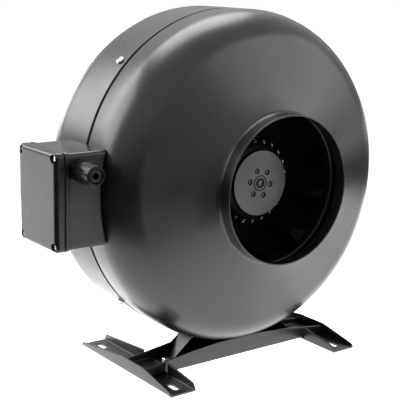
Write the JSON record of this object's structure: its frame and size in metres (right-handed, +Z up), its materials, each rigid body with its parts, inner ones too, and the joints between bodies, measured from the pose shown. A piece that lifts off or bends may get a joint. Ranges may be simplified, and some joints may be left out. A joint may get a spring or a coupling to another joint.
{
  "type": "inline duct fan",
  "caption": "Round inline duct fan: domed black steel casing with inlet and outlet spigots, backward-curved impeller on an external-rotor motor, side wiring box and a channel stand.",
  "frame": {"origin": "on the floor, straight under the fan's axis, level with the middle of the feet", "axes": "+Y along the airflow from inlet to outlet, +Z up, the wiring box on the -X side"},
  "size_m": [0.3924, 0.2331, 0.367],
  "materials": {
    "shell": "satin black powder coat with a fine texture",
    "motor_support": "satin black paint",
    "stand": "satin black powder coat",
    "impeller": "black electro-coated steel, satin",
    "rotor": "dark grey enamel over a die-cast cap, satin",
    "screws": "bright zinc plate",
    "bright_steel": "ground steel",
    "core_steel": "laminated core steel",
    "windings": null,
    "flange": "die-cast aluminium",
    "box": "satin black painted die-cast box",
    "gland": "black moulded nylon",
    "rubber": "black rubber",
    "terminals": "pale moulded plastic",
    "capacitor": "drawn aluminium can"
  },
  "bodies": {
    "casing": {"front_shell": "shell", "rear_shell": "shell", "inlet_nozzle": "shell", "motor_plate": "motor_support", "bracket_leg_1": "motor_support", "bracket_leg_2": "motor_support", "bracket_leg_3": "motor_support", "bracket_leg_4": "motor_support", "foot_left": "stand", "foot_right": "stand", "crossbar": "stand", "saddle_strap": "stand", "casing_screw_1": "screws", "casing_screw_2": "screws", "casing_screw_3": "screws", "casing_screw_4": "screws", "motor_screw_1": "screws", "motor_screw_2": "screws", "motor_screw_3": "screws", "motor_screw_4": "screws", "lid_screw_1": "screws", "lid_screw_2": "screws", "lid_screw_3": "screws", "lid_screw_4": "screws", "strap_bolt_1": "screws", "strap_bolt_2": "screws", "bearing_front": "bright_steel", "bearing_rear": "bright_steel", "stator_core": "core_steel", "winding_front": "windings", "winding_rear": "windings", "stator_flange": "flange", "box_base": "box", "box_lid": "box", "gland_body": "gland", "gland_nut": "gland", "gland_locknut": "gland", "box_gasket": "rubber", "gland_seal": "rubber", "lead_grommet": "rubber", "motor_lead": "rubber", "terminal_block": "terminals", "capacitor": "capacitor"},
    "impeller": {"impeller_shroud": "impeller", "impeller_backplate": "impeller", "impeller_blade_01": "impeller", "impeller_blade_02": "impeller", "impeller_blade_03": "impeller", "impeller_blade_04": "impeller", "impeller_blade_05": "impeller", "impeller_blade_06": "impeller", "impeller_blade_07": "impeller", "impeller_blade_08": "impeller", "impeller_blade_09": "impeller", "impeller_blade_10": "impeller", "impeller_blade_11": "impeller", "rotor_cup": "rotor", "rotor_laminations": "core_steel", "motor_shaft": "bright_steel", "shaft_clip": "bright_steel"}
  },
  "joints": [
    {"name": "impeller_spin", "type": "hinge", "parent": "casing", "child": "impeller", "pos_m": [0, -0.04, 0.195], "axis": [0, 1, 0], "continuous": true}
  ]
}
